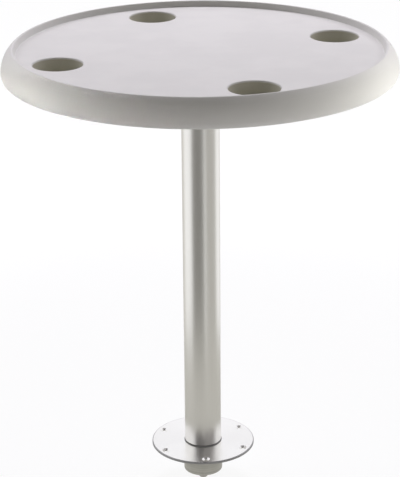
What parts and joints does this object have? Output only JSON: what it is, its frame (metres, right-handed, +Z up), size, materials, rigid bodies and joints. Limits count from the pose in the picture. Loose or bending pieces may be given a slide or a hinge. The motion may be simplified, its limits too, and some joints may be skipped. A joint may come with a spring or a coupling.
{
  "type": "plug-in pedestal table",
  "caption": "Round moulded table top with raised lip and drink wells on a straight post that plugs into a flush deck socket; post swivels and lifts out, top lifts off.",
  "frame": {"origin": "centre of the deck flange's underside, at deck level", "axes": "+Z up along the post; the picture looks along +Y with +X to the right"},
  "size_m": [0.6139, 0.614, 0.7515],
  "materials": {
    "moulded_top": "satin moulded, fine pebble in the tray",
    "moulded_cover": "satin moulded",
    "anodised_post": "satin anodised",
    "turned_flange": "fine turned and polished",
    "socket_metal": "satin",
    "cast_receiver": "fine cast",
    "black_nylon": "moulded",
    "stainless_screws": "plain",
    "brass_inserts": "plain",
    "plywood_core": "plain plywood"
  },
  "bodies": {
    "deck_base": {"deck_flange": "turned_flange", "socket_cup": "socket_metal", "drain_spigot": "socket_metal"},
    "swivel_bush": {"socket_bush": "black_nylon"},
    "post": {"post_tube": "anodised_post", "lower_plug": "black_nylon", "upper_plug": "black_nylon"},
    "table_top": {"top_shell": "moulded_top", "core_board": "plywood_core", "core_inserts": "brass_inserts", "underside_cover": "moulded_cover", "cover_screws": "stainless_screws", "top_receiver": "cast_receiver", "receiver_bush": "black_nylon", "receiver_screws": "stainless_screws"}
  },
  "joints": [
    {"name": "post_swivel", "type": "hinge", "parent": "deck_base", "child": "swivel_bush", "pos_m": [0, 0, 0], "axis": [0, 0, 1], "continuous": true},
    {"name": "post_lift", "type": "slide", "parent": "swivel_bush", "child": "post", "axis": [0, 0, 1], "range_m": [0, 0.06]},
    {"name": "top_lift", "type": "slide", "parent": "post", "child": "table_top", "axis": [0, 0, 1], "range_m": [0, 0.06]}
  ]
}
